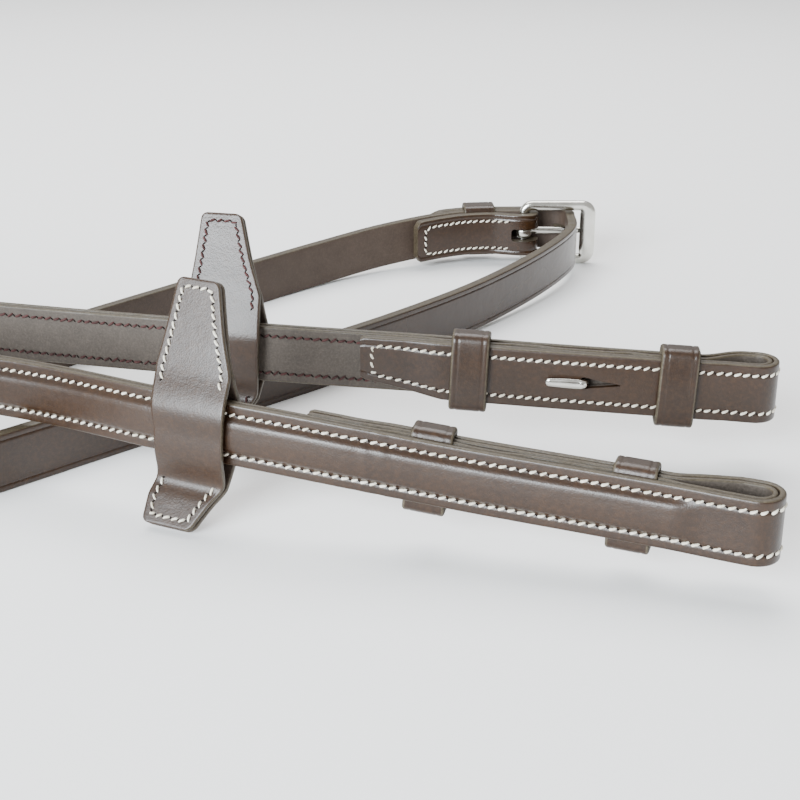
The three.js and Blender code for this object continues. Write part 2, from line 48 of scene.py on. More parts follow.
# Leather sizes, the same as the part's
STRAP_WIDTH = 16.0
FRONT_THICKNESS = 1.5
LINING_THICKNESS = 1.3
PLAIN_DEPTH = 1.8
RAISE = 1.3
HALF_GAP = 0.15
LAYER_ROOM = 0.75
LAYER_INSERT = 0.45
STITCH_INSET = 2.7               # from the strap edge to a row of stitches
LINING_INSET = 0.1               # how far the lining's edges stand back from the strap's
LINING_ROUND = 0.45

# Bit end, measured back from the outside of the fold
FOLD_RADIUS = 4.3
LOOP_SEPARATION = 3.3
LOOP_MOUTH = 4.0
LOOP_NECK = {"buckle_rein": 26.0, "point_rein": 20.5}
FILLER_END = 16.0
LOOP_SHARE = {"buckle_rein": 0.1, "point_rein": 0.9}    # of the loop's opening, on the main run
KEEPER_PLACES = {
    "buckle_rein": {"keeper_near_bit": 33.5, "keeper_near_hand": 81.2},
    "point_rein": {"keeper_near_bit": 27.0, "keeper_near_hand": 81.2},
}
KEEPER_LENGTH = 10.0
KEEPER_WALL = 1.45
KEEPER_BOW = -0.4
KEEPER_EDGE = 0.6
KEEPER_GROOVE = 1.7
KEEPER_INNER_CORNER = 0.7
KEEPER_OUTER_CORNER = 2.2
KEEPER_ROOM = 1.4                 # over and under the strap
KEEPER_SAG = {"buckle_rein": 1.1, "point_rein": -0.4}   # how far they hang off the middle
STUD_PLACE = 51.0
BILLET_LENGTH = 110.0
BILLET_TAPER = 22.0
BILLET_NARROWS = 4.3              # at the lower edge, over the taper
BILLET_BLUNT = 0.7
BILLET_LIFTED = (12, 20, 88, 98)   # stretch where the billet clears the keepers and the stud
LINED_LENGTH = 620.0
SKIVE = 25.0
THICK_HALF = 5.8                  # strap is thickened this far either side of a keeper's web or a stud
THICK_FADE = 12.5
FOLD_OUTSIDE = FOLD_RADIUS + HALF_GAP + FRONT_THICKNESS
BILLET_GRAIN = -(LOOP_SEPARATION + LAYER_ROOM + HALF_GAP + FRONT_THICKNESS)
BETWEEN_LININGS = -(LAYER_ROOM + HALF_GAP + LINING_THICKNESS + 0.2)

# Rein stops
STOP_PLACES = {"buckle_rein": 139.8, "point_rein": 148.9}
STOP_THICKNESS = 1.4
STOP_LEAN = math.radians(24)
STOP_SPLAY = math.radians(36)
STOP_TOP = 26.2
STOP_BOTTOM = 16.0
STOP_ROOM = {"front": 0.8, "back": 1.8}
STOP_GAP = 0.5
# Where a flap starts, off the seam plane and beyond the strap's edge, by the side it leans to
STOP_ROOTS = {"grain": (-0.9, 3.6), "flesh": (0.75, 1.6)}
STOP_CORNER = 1.7
STOP_EDGE = 0.4
STOP_END_STEPS = [0, 0.05, 0.2, 0.45, 0.8, 1.2, 1.7]
STOP_STITCH_INSET = 2.1
STOP_TOP_SEAM = (2.2, 25.5)       # from the upper end
STOP_BOTTOM_SEAM = (2.2, 12.0)    # from the lower end
# Half width, and sway of the middle to the bit, at each knot of a sheet from top to bottom
STOP_HALF_WIDTHS = [5.6, 7.8, 10.1, 9.8, 9.3, 9.3, 9.3, 8.4, 6.6]
STOP_SWAY = [-2, -0.6, 0.8, 1.6, 1.6, 1.5, 0.4, -1.4, -2.8]

# Buckle, centred on its heel bar
HEEL = np.array([48.0, 231.4])
BUCKLE_LENGTH = 29.5
BUCKLE_HEIGHT = 25.0
BUCKLE_DEPTH = 3.4
BUCKLE_ARM = 3.8
FAR_BAR = 6.0
STRAP_LIFT = 4.5
CHAPE_RADIUS = 4.1
CHAPE_OFFSET = 5.3
CHAPE_LENGTH = 46.0
CHAPE_BLUNT = 2.0
TIP_OFFSET = 3.75
TIP_REACH = 42.0
TIP_TAPER = 12.0
TIP_NARROWS = 3.5                 # at each edge, over the taper
TURN_RADIUS = 7.5
TURN_CENTRE = HEEL + (10.5, CHAPE_RADIUS + TIP_OFFSET - TURN_RADIUS)
HAND_KEEPER_PLACE = 17.0
HAND_KEEPER_LENGTH = 12.0
HAND_KEEPER_ROOM = 0.45
HAND_KEEPER_WEB = 1.3
HAND_KEEPER_WALLS = (0.8, 1.3)    # on the flesh side and on the grain side
HAND_KEEPER_BOW = 0.3
# Openings at the buckle from the heel bar, as x0, x1, y0, y1 and half the height
CHAPE_SLOT = (-5, 8, -9, 7, 2.4)
PRONG_HOLE = (12, 21.5, 0.4, 6, 2.0)

# Seam lines of the two reins as x, y and height of the lower edge, from the buckle to the bit end
BUCKLE_REIN_ROUTE = [
    (48, 235.5, 4.5), (22, 233.8, 4.2), (-5, 221.5, 2.5), (-31, 201.5, 0.6), (-56, 175.5, 0),
    (-80, 147.5, 0), (-104, 119.5, 0), (-128, 91, 0), (-150, 60, 0), (-167, 25, 0),
    (-192, -10, 0), (-233, -30, 0), (-276, -38, 0), (-317, -30, 0), (-350, -5, 0),
    (-368, 34, 0), (-385, 73, 0), (-395, 113, 0), (-377, 150, 0), (-341, 168, 0),
    (-299, 166, 2), (-260, 146, 6.5), (-225, 118, 12.5), (-191, 89, 17), (-157, 62, 18),
    (-124, 42.5, 18), (-90, 28, 18), (-55, 9.8, 18), (-20, -3.4, 16.4), (14, -11.5, 12.8),
    (47, -21, 10.7), (77.3, -31.6, 9.5),
]
POINT_REIN_ROUTE = [
    (63.8, 210, 4.2), (49.5, 182.5, 3), (27, 152.5, 1.2), (1, 124, 0.2), (-26, 97, 0),
    (-54, 71.5, 0), (-82, 45.5, 0), (-110, 19, 0), (-141, -8, 0), (-178, -29, 0),
    (-221, -42.5, 0), (-266, -50, 0), (-310, -45.5, 0), (-347, -26, 0), (-371, 7, 0),
    (-388, 45, 0), (-404, 83, 0), (-407, 124, 0), (-386, 160, 0), (-348, 179.5, 0),
    (-305, 179.5, 0.5), (-264, 163, 4), (-229, 137, 9.5), (-197, 113, 15), (-165, 94, 18.3),
    (-132, 79.5, 19), (-98, 70, 19), (-62, 62, 18.7), (-27, 54.8, 18.5), (9, 49.6, 17.8),
    (43, 45.8, 16.4), (93.5, 41, 14.3),
]

buckle_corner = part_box("buckle_frame")[0]
SHIFT = np.array([
    buckle_corner.x / MM - (HEEL[0] - BUCKLE_DEPTH / 2),
    buckle_corner.y / MM - (HEEL[1] - BUCKLE_DEPTH / 2),
    0.0,
])


def unit(vector):
    return vector / np.linalg.norm(vector)


def ease(start, end, value):
    share = min(max((value - start) / (end - start), 0.0), 1.0)
    return share * share * (3 - 2 * share)


def lerp(a, b, share):
    return a + (b - a) * share


def distances(points):
    """How far along a row of points each of them lies."""
    return np.concatenate([[0], np.cumsum(np.linalg.norm(np.diff(points, axis=0), axis=1))])


def circle(sides):
    turns = np.linspace(0, 2 * math.pi, sides, endpoint=False)
    return [(math.cos(turn), math.sin(turn)) for turn in turns]


def squared_circle(sides, power):
    """Points round a unit circle, pushed out towards a square by a power under 1."""
    return [[math.copysign(abs(value) ** power, value) for value in pair] for pair in circle(sides)]


def roll(distance, radius):
    """How far a rounded edge falls away, at a distance in from the edge."""
    short = max(radius - distance, 0.0)
    return radius - math.sqrt(radius * radius - short * short)


# ---- camera, light and floor ----

CAMERA_PLACE = (0.0, -311.6, 161.3)
CAMERA_PITCH = 22.0
CAMERA_LENS = 64.6
CAMERA_SENSOR = 36.0
FLOOR_SIZE = 12.0
FLOOR_TONE = 0.95
FLOOR_ROUGHNESS = 0.9
WORLD_COLOUR = (1.0, 0.99, 0.97)
WORLD_STRENGTH = 0.7
# Place and target in metres, width and height in metres, watts and colour
SOFTBOXES = {
    "overhead": ((0.05, 0.5, 1.1), (0.05, 0, 0), (1.0, 1.0), 20, (1.0, 1.0, 1.0)),
    "front_left": ((-0.8, -1.4, 0.55), (0.1, -0.08, 0.02), (1.1, 1.0), 106, (0.88, 0.95, 1.0)),
}


def add_camera():
    data = bpy.data.cameras.new("camera")
    data.lens = CAMERA_LENS
    data.sensor_width = CAMERA_SENSOR
    data.clip_start = 0.01
    camera = bpy.data.objects.new("camera", data)
    camera.location = (np.array(CAMERA_PLACE) + SHIFT) * MM
    camera.rotation_euler = (math.radians(90 - CAMERA_PITCH), 0, 0)
    bpy.context.scene.collection.objects.link(camera)
    bpy.context.scene.camera = camera


def add_softbox(name, place, target, size, watts, colour):
    data = bpy.data.lights.new(name, "AREA")
    data.shape = "RECTANGLE"
    data.size, data.size_y = size
    data.energy = watts
    data.color = colour
    light = bpy.data.objects.new(name, data)
    light.location = Vector(place)
    light.rotation_euler = (Vector(target) - Vector(place)).to_track_quat("-Z", "Y").to_euler()
    bpy.context.scene.collection.objects.link(light)


def add_studio():
    world = bpy.data.worlds.new("studio")
    world.use_nodes = True
    background = world.node_tree.nodes["Background"]
    background.inputs["Color"].default_value = (*WORLD_COLOUR, 1)
    background.inputs["Strength"].default_value = WORLD_STRENGTH
    bpy.context.scene.world = world
    for name, settings in SOFTBOXES.items():
        add_softbox(name, *settings)

    mesh = bpy.data.meshes.new("floor")
    half = FLOOR_SIZE / 2
    corners = [(-half, -half, 0), (half, -half, 0), (half, half, 0), (-half, half, 0)]
    mesh.from_pydata(corners, [], [(0, 1, 2, 3)])
    floor = bpy.data.objects.new("floor", mesh)
    material = bpy.data.materials.new("pale_floor")
    material.use_nodes = True
    shader = material.node_tree.nodes["Principled BSDF"]
    shader.inputs["Base Color"].default_value = (FLOOR_TONE, FLOOR_TONE, FLOOR_TONE, 1)
    shader.inputs["Roughness"].default_value = FLOOR_ROUGHNESS
    mesh.materials.append(material)
    bpy.context.scene.collection.objects.link(floor)


# ---- materials ----

class Look:
    """A Principled material whose colour, roughness and bump come from noise in object coordinates."""

    NOISE_LOW = 0.3      # most of a noise's values lie between these two
    NOISE_HIGH = 0.7

    def __init__(self, name, **constants):
        self.material = bpy.data.materials.new(name)
        self.material.use_nodes = True
        self.tree = self.material.node_tree
        self.shader = self.tree.nodes["Principled BSDF"]
        self.place = self.tree.nodes.new("ShaderNodeTexCoord").outputs["Object"]
        for socket, value in constants.items():
            self.shader.inputs[socket.replace("_", " ")].default_value = value

    def node(self, kind, **inputs):
        made = self.tree.nodes.new(kind)
        for socket, value in inputs.items():
            made.inputs[socket.replace("_", " ")].default_value = value
        return made

    def link(self, output, socket):
        self.tree.links.new(output, socket)

    def noise(self, scale, detail=4.0, roughness=0.55):
        made = self.node("ShaderNodeTexNoise", Scale=scale, Detail=detail, Roughness=roughness)
        self.link(self.place, made.inputs["Vector"])
        return made.outputs["Fac"]

    def cells(self, scale):
        made = self.node("ShaderNodeTexVoronoi", Scale=scale)
        made.feature = "F1"
        self.link(self.place, made.inputs["Vector"])
        return made.outputs["Distance"]

    def ramp(self, source, stops):
        made = self.tree.nodes.new("ShaderNodeValToRGB")
        self.link(source, made.inputs["Fac"])
        elements = made.color_ramp.elements
        while len(elements) < len(stops):
            elements.new(0.5)
        for element, (position, colour) in zip(elements, stops):
            element.position = position
            element.color = (*colour, 1)
        return made.outputs["Color"]

    def mix(self, factor, first, second):
        made = self.tree.nodes.new("ShaderNodeMix")
        made.data_type = "RGBA"
        self.link(factor, made.inputs[0])
        self.link(first, made.inputs[6])
        self.link(second, made.inputs[7])
        return made.outputs[2]

    def grey(self, source, low, high):
        made = self.node("ShaderNodeMapRange", From_Min=self.NOISE_LOW, From_Max=self.NOISE_HIGH,
                         To_Min=low, To_Max=high)
        self.link(source, made.inputs["Value"])
        return made.outputs["Result"]

    def colour(self, output):
        self.link(output, self.shader.inputs["Base Color"])

    def roughness(self, output):
        self.link(output, self.shader.inputs["Roughness"])

    def bump(self, *layers):
        """Each layer is a height, a strength and a depth in millimetres."""
        before = None
        for height, strength, depth in layers:
            made = self.node("ShaderNodeBump", Strength=strength, Distance=depth * MM)
            self.link(height, made.inputs["Height"])
            if before is not None:
                self.link(before, made.inputs["Normal"])
            before = made.outputs["Normal"]
        self.link(before, self.shader.inputs["Normal"])


def grain_leather():
    look = Look("grain_leather", Coat_Weight=0.12, Coat_Roughness=0.22, Specular_IOR_Level=0.45)
    waxed = look.noise(13, 1)
    broad = look.noise(55, 3)
    fine = look.noise(900, 5, 0.6)
    tone = look.ramp(broad, [(0.3, (0.0145, 0.0056, 0.0016)), (0.7, (0.0260, 0.0108, 0.0034))])
    speckle = look.ramp(fine, [(0.35, (0.0100, 0.0040, 0.0013)), (0.65, (0.036, 0.0158, 0.0056))])
    look.colour(look.mix(look.grey(fine, 0.25, 0.6), tone, speckle))
    look.roughness(look.grey(waxed, 0.2, 0.4))
    pores = look.cells(2300)
    wrinkles = look.noise(380, 6, 0.65)
    dents = look.noise(150, 3)
    look.bump((dents, 0.4, 0.35), (wrinkles, 0.3, 0.14), (pores, 0.28, 0.09), (fine, 0.2, 0.07))
    return look.material


def fibrous_leather(name, specular, fine, broad, tones, fibres, most, rough, fuzz):
    """Leather without its grain. fine and broad are noises, and tones and fibres the ramps over them."""
    look = Look(name, Specular_IOR_Level=specular)
    fine = look.noise(*fine)
    broad = look.noise(*broad)
    look.colour(look.mix(look.grey(fine, 0.3, most), look.ramp(broad, tones), look.ramp(fine, fibres)))
    look.roughness(look.grey(fine, 0.5, rough))
    look.bump((broad, 0.3, 0.25), (fine, *fuzz))
    return look.material


def edge_leather():
    look = Look("edge_leather", Specular_IOR_Level=0.45)
    fine = look.noise(1500, 6, 0.7)
    broad = look.noise(200, 3)
    tone = look.ramp(broad, [(0.3, (0.024, 0.016, 0.008)), (0.7, (0.060, 0.045, 0.026))])
    worn = look.ramp(fine, [(0.35, (0.020, 0.013, 0.007)), (0.7, (0.115, 0.092, 0.058))])
    look.colour(look.mix(look.grey(fine, 0.25, 0.7), tone, worn))
    look.roughness(look.grey(broad, 0.4, 0.62))
    look.bump((fine, 0.45, 0.14))
    return look.material


def noise_ramp_look(name, specular, fine, dark, light, rough, fuzz):
    look = Look(name, Specular_IOR_Level=specular)
    fine = look.noise(*fine)
    look.colour(look.ramp(fine, [(0.3, dark), (0.7, light)]))
    look.roughness(look.grey(fine, *rough))
    look.bump((fine, *fuzz))
    return look.material


def nickel_metal():
    look = Look("nickel_metal", Metallic=1.0)
    broad = look.noise(140, 3)
    fine = look.noise(2600, 3, 0.5)
    look.colour(look.ramp(broad, [(0.3, (0.56, 0.55, 0.50)), (0.7, (0.70, 0.69, 0.65))]))
    look.roughness(look.grey(look.noise(300, 3), 0.15, 0.26))
    look.bump((broad, 0.05, 0.12), (fine, 0.03, 0.01))
    return look.material


def thread(name, dark, light):
    look = Look(name, Specular_IOR_Level=0.3)
    fibre = look.noise(2600, 4, 0.6)
    broad = look.noise(190, 2)
    first = look.ramp(broad, [(0.35, dark), (0.65, light)])
    second = look.ramp(fibre, [(0.35, dark), (0.6, light)])
    look.colour(look.mix(look.grey(fibre, 0.3, 0.6), first, second))
    look.roughness(look.grey(fibre, 0.6, 0.85))
    look.bump((fibre, 0.5, 0.1))
    return look.material


GRAIN = grain_leather()
FLESH = fibrous_leather(
    "flesh_leather", 0.4, (1400, 6, 0.7), (120, 4),
    [(0.3, (0.033, 0.020, 0.013)), (0.7, (0.056, 0.036, 0.025))],
    [(0.3, (0.026, 0.016, 0.011)), (0.7, (0.085, 0.059, 0.044))], 0.7, 0.75, (0.5, 0.16))
LINING = fibrous_leather(
    "lining_leather", 0.45, (1700, 8, 0.72), (160, 5),
    [(0.25, (0.030, 0.022, 0.016)), (0.75, (0.064, 0.050, 0.039))],
    [(0.3, (0.019, 0.0135, 0.010)), (0.7, (0.110, 0.089, 0.072))], 0.75, 0.8, (0.6, 0.2))
EDGE = edge_leather()
FILLER = noise_ramp_look(
    "filler_leather", 0.3, (1200, 6, 0.7), (0.23, 0.15, 0.09), (0.42, 0.30, 0.19), (0.7, 0.9), (0.5, 0.15))
# Near-black: painted shade that stands for the inside of the needle holes between stitches.
PAINTED_HOLE_SHADE = noise_ramp_look(
    "painted_hole_shade", 0.15, (1500, 3), (0.004, 0.0025, 0.002), (0.012, 0.008, 0.006), (0.8, 0.95), (0.3, 0.1))
METAL = nickel_metal()
WHITE_THREAD = thread("white_thread", (0.47, 0.41, 0.31), (0.80, 0.76, 0.66))
BROWN_THREAD = thread("brown_thread", (0.026, 0.0095, 0.0085), (0.080, 0.030, 0.028))


# ---- meshes ----

SHARP_ANGLE = math.radians(50)


def add_piece(name, points, faces, face_looks, looks):
    """One object from points in the part's millimetres; face_looks picks a material for each face."""
    mesh = bpy.data.meshes.new(name)
    mesh.from_pydata((np.asarray(points) + SHIFT) * MM, [], faces)
    for look in looks:
        mesh.materials.append(look)
    mesh.polygons.foreach_set("material_index", np.asarray(face_looks, np.int32))
    mesh.polygons.foreach_set("use_smooth", np.ones(len(faces), bool))
    shell = bmesh.new()
    shell.from_mesh(mesh)
    bmesh.ops.recalc_face_normals(shell, faces=shell.faces)
    shell.to_mesh(mesh)
    shell.free()
    mesh.set_sharp_from_angle(angle=SHARP_ANGLE)
    piece = bpy.data.objects.new(name, mesh)
    bpy.context.scene.collection.objects.link(piece)
    return piece


def loft(name, rings, zones, looks, closed=False):
    """Skin over rings of points. zones gives the material of the strip that starts at each point."""
    rings = np.asarray(rings, float)
    count, size = rings.shape[:2]
    faces = []
    face_looks = []
    for i in range(count if closed else count - 1):
        near = i * size
        far = (i + 1) % count * size
        for j in range(size):
            k = (j + 1) % size
            faces.append((near + j, near + k, far + k, far + j))
            face_looks.append(zones[j])
    if not closed:
        cap_look = 1 if len(looks) > 1 else 0
        faces.append(tuple(range(size)))
        faces.append(tuple((count - 1) * size + j for j in range(size)))
        face_looks += [cap_look, cap_look]
    return add_piece(name, rings.reshape(-1, 3), faces, face_looks, looks)


def cut_with(piece, cutter):
    """Takes the cutter's shape out of the piece and removes the cutter."""
    modifier = piece.modifiers.new("cut", "BOOLEAN")
    modifier.operation = "DIFFERENCE"
    modifier.solver = "EXACT"
    modifier.object = cutter
    bpy.context.view_layer.update()
    shown = piece.evaluated_get(bpy.context.evaluated_depsgraph_get())
    mesh = bpy.data.meshes.new_from_object(shown)
    piece.modifiers.clear()
    before = piece.data
    piece.data = mesh
    mesh.name = piece.name
    bpy.data.meshes.remove(before)
    bpy.data.objects.remove(cutter)
    mesh.set_sharp_from_angle(angle=SHARP_ANGLE)


def place_piece(piece, body, slot, *nodes):
    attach(piece, body)
    if nodes:
        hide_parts(*nodes)


GROOVE_DEPTH = 0.1
GROOVE_SPREAD = 0.25
GROOVE_STEP = 0.35


def dip(distance, spread):
    """1 at no distance, falling away smoothly over the spread."""
    return math.exp(-((distance / spread) ** 2))


def slab_profile(width, thickness, radius, grooves=(), face_steps=6):
    """Closed outline of a flat piece with rounded edges: positions across and through, and its zones.
    The outer face is at the full thickness; grooves are distances in from both edges."""
    half = width / 2
    insets = [0.0, radius * 0.12, radius * 0.4, radius]
    insets += [groove + step for groove in grooves for step in (-GROOVE_STEP, 0, GROOVE_STEP)]
    start = insets[-1] + 0.3
    insets += list(np.linspace(start, half, face_steps))
    outer = []
    for inset in insets:
        grooved = sum(GROOVE_DEPTH * dip(inset - groove, GROOVE_SPREAD) for groove in grooves)
        outer.append((-half + inset, thickness - roll(inset, radius) - grooved))
    outer += [(-x, t) for x, t in reversed(outer[:-1])]
    inner = [(x, roll(half - abs(x), radius)) for x, _ in reversed(outer)]
    zones = []
    for (x, _), (x_next, _) in zip(outer, outer[1:]):
        inset = half - abs(x + x_next) / 2
        zones.append(0 if inset > radius * 0.7 else 1)
    back = [2 if zone == 0 else 1 for zone in reversed(zones)]
    return outer + inner, zones + [1] + back + [1]


# ---- seam lines and stations ----

class Seam:
    """Smooth line through a route's points, looked up by the distance along it."""

    REACH = 30.0     # straight run on past both ends

    def __init__(self, route):
        knots = np.array(route, float)
        knots = np.vstack([2 * knots[0] - knots[1], knots, 2 * knots[-1] - knots[-2]])
        share = np.linspace(0, 1, 40, endpoint=False)[:, None]
        spans = []
        for a, b, c, d in zip(knots, knots[1:], knots[2:], knots[3:]):
            bend = (2 * a - 5 * b + 4 * c - d) * share**2 + (3 * b - a - 3 * c + d) * share**3
            spans.append(b + (c - a) * share / 2 + bend / 2)
        points = np.vstack([*spans, knots[-2:-1]])
        points[:, 2] = np.maximum(points[:, 2], 0)
        steps = np.hypot(*np.diff(points[:, :2], axis=0).T)
        self.length = steps.sum()
        along = np.concatenate([[0], np.cumsum(steps)])
        before = points[0] - (points[1] - points[0]) / steps[0] * self.REACH
        after = points[-1] + (points[-1] - points[-2]) / steps[-1] * self.REACH
        self.points = np.vstack([before, points, after])
        self.along = np.concatenate([[-self.REACH], along, [self.length + self.REACH]])

    def at(self, along):
        return np.array([np.interp(along, self.along, axis) for axis in self.points.T])

    def heading(self, along):
        step = self.at(along + 0.5) - self.at(along - 0.5)
        return unit(step * (1, 1, 0))

    def beside(self, along, offset):
        x, y, _ = self.heading(along)
        return self.at(along) + np.array([-y, x, 0]) * offset


class Station:
    """A place along a strap: the seam's lower edge, the side that the grain faces, and the run it is in."""

    def __init__(self, point, run, from_fold=None):
        self.point = point
        self.run = run
        self.from_fold = from_fold
        self.side = None
        self.from_tip = None

    def place(self, across, up):
        return self.point + self.side * across + np.array([0, 0, up])


def set_sides(stations, grain):
    for i, station in enumerate(stations):
        ahead = stations[min(i + 1, len(stations) - 1)].point
        behind = stations[max(i - 1, 0)].point
        x, y, _ = unit((ahead - behind) * (1, 1, 0))
        station.side = np.array([-y, x, 0]) * grain
    return stations


def thickened(from_fold, places):
    """1 where the strap is thickened round one of the places on it, 0 away from them."""
    return max(1 - ease(THICK_HALF, THICK_FADE, abs(from_fold - place)) for place in places)


def loop_bulge(from_fold, neck):
    """How far the two runs of the folded end spread apart to open the bit loop."""
    return (2 * FOLD_RADIUS - LOOP_SEPARATION) * (1 - ease(FOLD_RADIUS + LOOP_MOUTH, neck, from_fold))


def billet_lift(from_fold):
    """How far the billet stands off to clear the keepers' webs and the stud plate."""
    start, full, fading, end = BILLET_LIFTED
    return LAYER_ROOM * ease(start, full, from_fold) * (1 - ease(fading, end, from_fold))


# Distance between stations near the buckle, on the plain run and at the bit end
BUCKLE_STEP = 1.6
PLAIN_STEP = 4.0
BIT_STEP = 1.0
TURN_STEP = 1.5


def bit_end(seam, grain, fine_until, rein):
    """Main run from the buckle, fold, and billet run back on the flesh side."""
    share = LOOP_SHARE[rein]
    neck = LOOP_NECK[rein]
    stations = []
    end_run = BILLET_LENGTH + 12
    along = TURN_STEP
    while along < seam.length:
        from_fold = seam.length + FOLD_OUTSIDE - along
        point = seam.beside(along, grain * share * loop_bulge(from_fold, neck))
        stations.append(Station(point, "main", from_fold))
        if along < fine_until:
            along += BUCKLE_STEP
        else:
            along += BIT_STEP if from_fold < end_run else PLAIN_STEP
    centre = seam.beside(seam.length, grain * (share * loop_bulge(0, neck) - FOLD_RADIUS))
    onward = seam.heading(seam.length)
    out = np.array([-onward[1], onward[0], 0]) * grain
    for turn in np.linspace(0, math.pi, 25):
        point = centre + (out * math.cos(turn) + onward * math.sin(turn)) * FOLD_RADIUS
        stations.append(Station(point, "fold", FOLD_OUTSIDE - math.sin(turn) * FOLD_RADIUS))
    along = seam.length - BIT_STEP
    while along > seam.length + FOLD_OUTSIDE - BILLET_LENGTH:
        from_fold = seam.length + FOLD_OUTSIDE - along
        away = LOOP_SEPARATION + billet_lift(from_fold) + (1 - share) * loop_bulge(from_fold, neck)
        stations.append(Station(seam.beside(along, -grain * away), "billet", from_fold))
        along -= BIT_STEP
    return stations


def measure_from_tip(stations):
    for station in stations:
        station.from_tip = np.linalg.norm(station.point - stations[0].point)


def buckle_rein_stations(seam):
    """Chape on the flesh side of its own strap, the turn round the heel bar, then the rein."""
    stations = []
    for along in np.arange(CHAPE_LENGTH, 1, -TURN_STEP):
        spread = (2 * CHAPE_RADIUS - CHAPE_OFFSET) * (1 - ease(0, 13, along))
        stations.append(Station(seam.beside(along, CHAPE_OFFSET + spread), "chape"))
    for turn in np.linspace(-math.pi / 2, math.pi / 2, 21):
        x = HEEL[0] + math.cos(turn) * CHAPE_RADIUS
        y = HEEL[1] + math.sin(turn) * CHAPE_RADIUS
        stations.append(Station(np.array([x, y, STRAP_LIFT]), "chape"))
    measure_from_tip(stations)
    return set_sides([*stations, *bit_end(seam, -1, 60, "buckle_rein")], -1)


def point_rein_stations(seam, buckle_seam):
    """Point on the grain side of the other rein, the turn inside the buckle's far bar, then the rein."""
    stations = []
    for along in np.arange(TIP_REACH, 0, -TURN_STEP):
        stations.append(Station(buckle_seam.beside(along, -TIP_OFFSET), "tip"))
    for turn in np.linspace(math.pi / 2, 0, 25):
        x = TURN_CENTRE[0] + math.cos(turn) * TURN_RADIUS
        y = TURN_CENTRE[1] + math.sin(turn) * TURN_RADIUS
        stations.append(Station(np.array([x, y, STRAP_LIFT]), "tip"))
    measure_from_tip(stations)
    return set_sides([*stations, *bit_end(seam, 1, 40, "point_rein")], 1)


buckle_seam = Seam(BUCKLE_REIN_ROUTE)
point_seam = Seam([(*(TURN_CENTRE + (TURN_RADIUS, 0)), STRAP_LIFT), *POINT_REIN_ROUTE])


# ---- straps ----

EDGE_ROUND = 0.55
FACE_INSETS = [0, 0.07, 0.25, 0.55, 1.0, 1.45, 1.8, 2.15, 2.45, 2.7, 2.95, 3.3, 3.7, 4.2, 4.8, 5.8, 7.0, 8.0]
BACK_INSETS = [0, 0.1, 0.35, 0.9, 2.2, 3.6, 4.2, 4.88, 6.4, 8.0]
FILLER_EASE = 8.0
CROWN = 0.18                      # how much higher the middle of the raised part is
STITCH_GROOVE = 0.24
STITCH_GROOVE_SPREAD = 0.32
EDGE_CREASE = 0.22
EDGE_CREASE_INSET = 1.8
EDGE_CREASE_SPREAD = 0.28
# Bending wrinkles across the grain: distance from the fold, depth and slant
WRINKLES = [(92.5, 0.16, 0.10), (96.5, 0.11, -0.08), (88.0, 0.12, 0.16), (62.0, 0.07, 0.10)]
WRINKLE_SPREAD = 1.1


def lined_share(station):
    """0 in the plain hand part, 1 in the lined part."""
    if station.from_fold is None:
        return 0.0
    return 1 - ease(LINED_LENGTH, LINED_LENGTH + SKIVE, station.from_fold)


def filler_share(station):
    if station.run != "main":
        return 0.0
    return lined_share(station) * ease(FILLER_END, FILLER_END + FILLER_EASE, station.from_fold)


def edges(station):
    """Lower and upper edge of the strap, narrowed at the point of the billet and of the rein."""
    low, high = 0.0, STRAP_WIDTH
    if station.run == "billet":
        share = max(station.from_fold - BILLET_LENGTH + BILLET_TAPER, 0) / BILLET_TAPER
        blunt = roll(max(BILLET_LENGTH - station.from_fold, 0), BILLET_BLUNT)
        low += BILLET_NARROWS * share + blunt
        high -= blunt
    if station.run == "tip":
        share = 1 - ease(0, TIP_TAPER, station.from_tip)
        low += TIP_NARROWS * share
        high -= TIP_NARROWS * share
    if station.run == "chape":
        blunt = roll(station.from_tip, CHAPE_BLUNT)
        low += blunt
        high -= blunt
    return low, high


def wrinkle_depth(station, up):
    if station.run != "main":
        return 0.0
    depth = 0.0
    for place, size, slant in WRINKLES:
        off = station.from_fold - place - slant * (up - STRAP_WIDTH / 2)
        depth += size * dip(off, WRINKLE_SPREAD)
    return depth


def grain_height(station, inset, scale):
    """Height of the grain face over the seam plane, at a distance in from the nearer edge."""
    lined = lined_share(station)
    height = HALF_GAP + FRONT_THICKNESS - roll(inset * scale, EDGE_ROUND)
    height += RAISE * filler_share(station) * ease(2.9, 4.7, inset)
    height += CROWN * filler_share(station) * ease(4.2, 8.0, inset)
    row = dip(inset - STITCH_INSET, STITCH_GROOVE_SPREAD)
    crease = dip(inset - EDGE_CREASE_INSET, EDGE_CREASE_SPREAD)
    return height - STITCH_GROOVE * lined * row - EDGE_CREASE * (1 - lined) * crease


def strap_ring(station):
    low, high = edges(station)
    scale = (high - low) / STRAP_WIDTH
    lined = lined_share(station)
    back = lerp(-PLAIN_DEPTH, HALF_GAP, lined)
    back_round = lerp(EDGE_ROUND, 0.1, lined)
    section = []
    for inset in FACE_INSETS:
        section.append((grain_height(station, inset, scale), low + inset * scale))
    for inset in reversed(FACE_INSETS[:-1]):
        section.append((grain_height(station, inset, scale), high - inset * scale))
    section = [(across - wrinkle_depth(station, up), up) for across, up in section]
    hollow = [RAISE * filler_share(station) * ease(3.6, 4.88, inset) for inset in BACK_INSETS]
    inner = [back + roll(inset, back_round) + rise for inset, rise in zip(BACK_INSETS, hollow)]
    backs = list(zip(BACK_INSETS, inner))
    section += [(across, high - inset * scale) for inset, across in backs]
    section += [(across, low + inset * scale) for inset, across in backs[-2::-1]]
    return [station.place(across, up) for across, up in section]


def strap_zones():
    grain = [1 if inset < 0.2 else 0 for inset in FACE_INSETS[:-1]]
    back = [1 if inset < 0.3 else 2 for inset in BACK_INSETS[:-1]]
    return grain + grain[::-1] + [1] + back + back[::-1] + [1]


def lining_profile(width):
    return slab_profile(width - 2 * LINING_INSET, LINING_THICKNESS, LINING_ROUND)


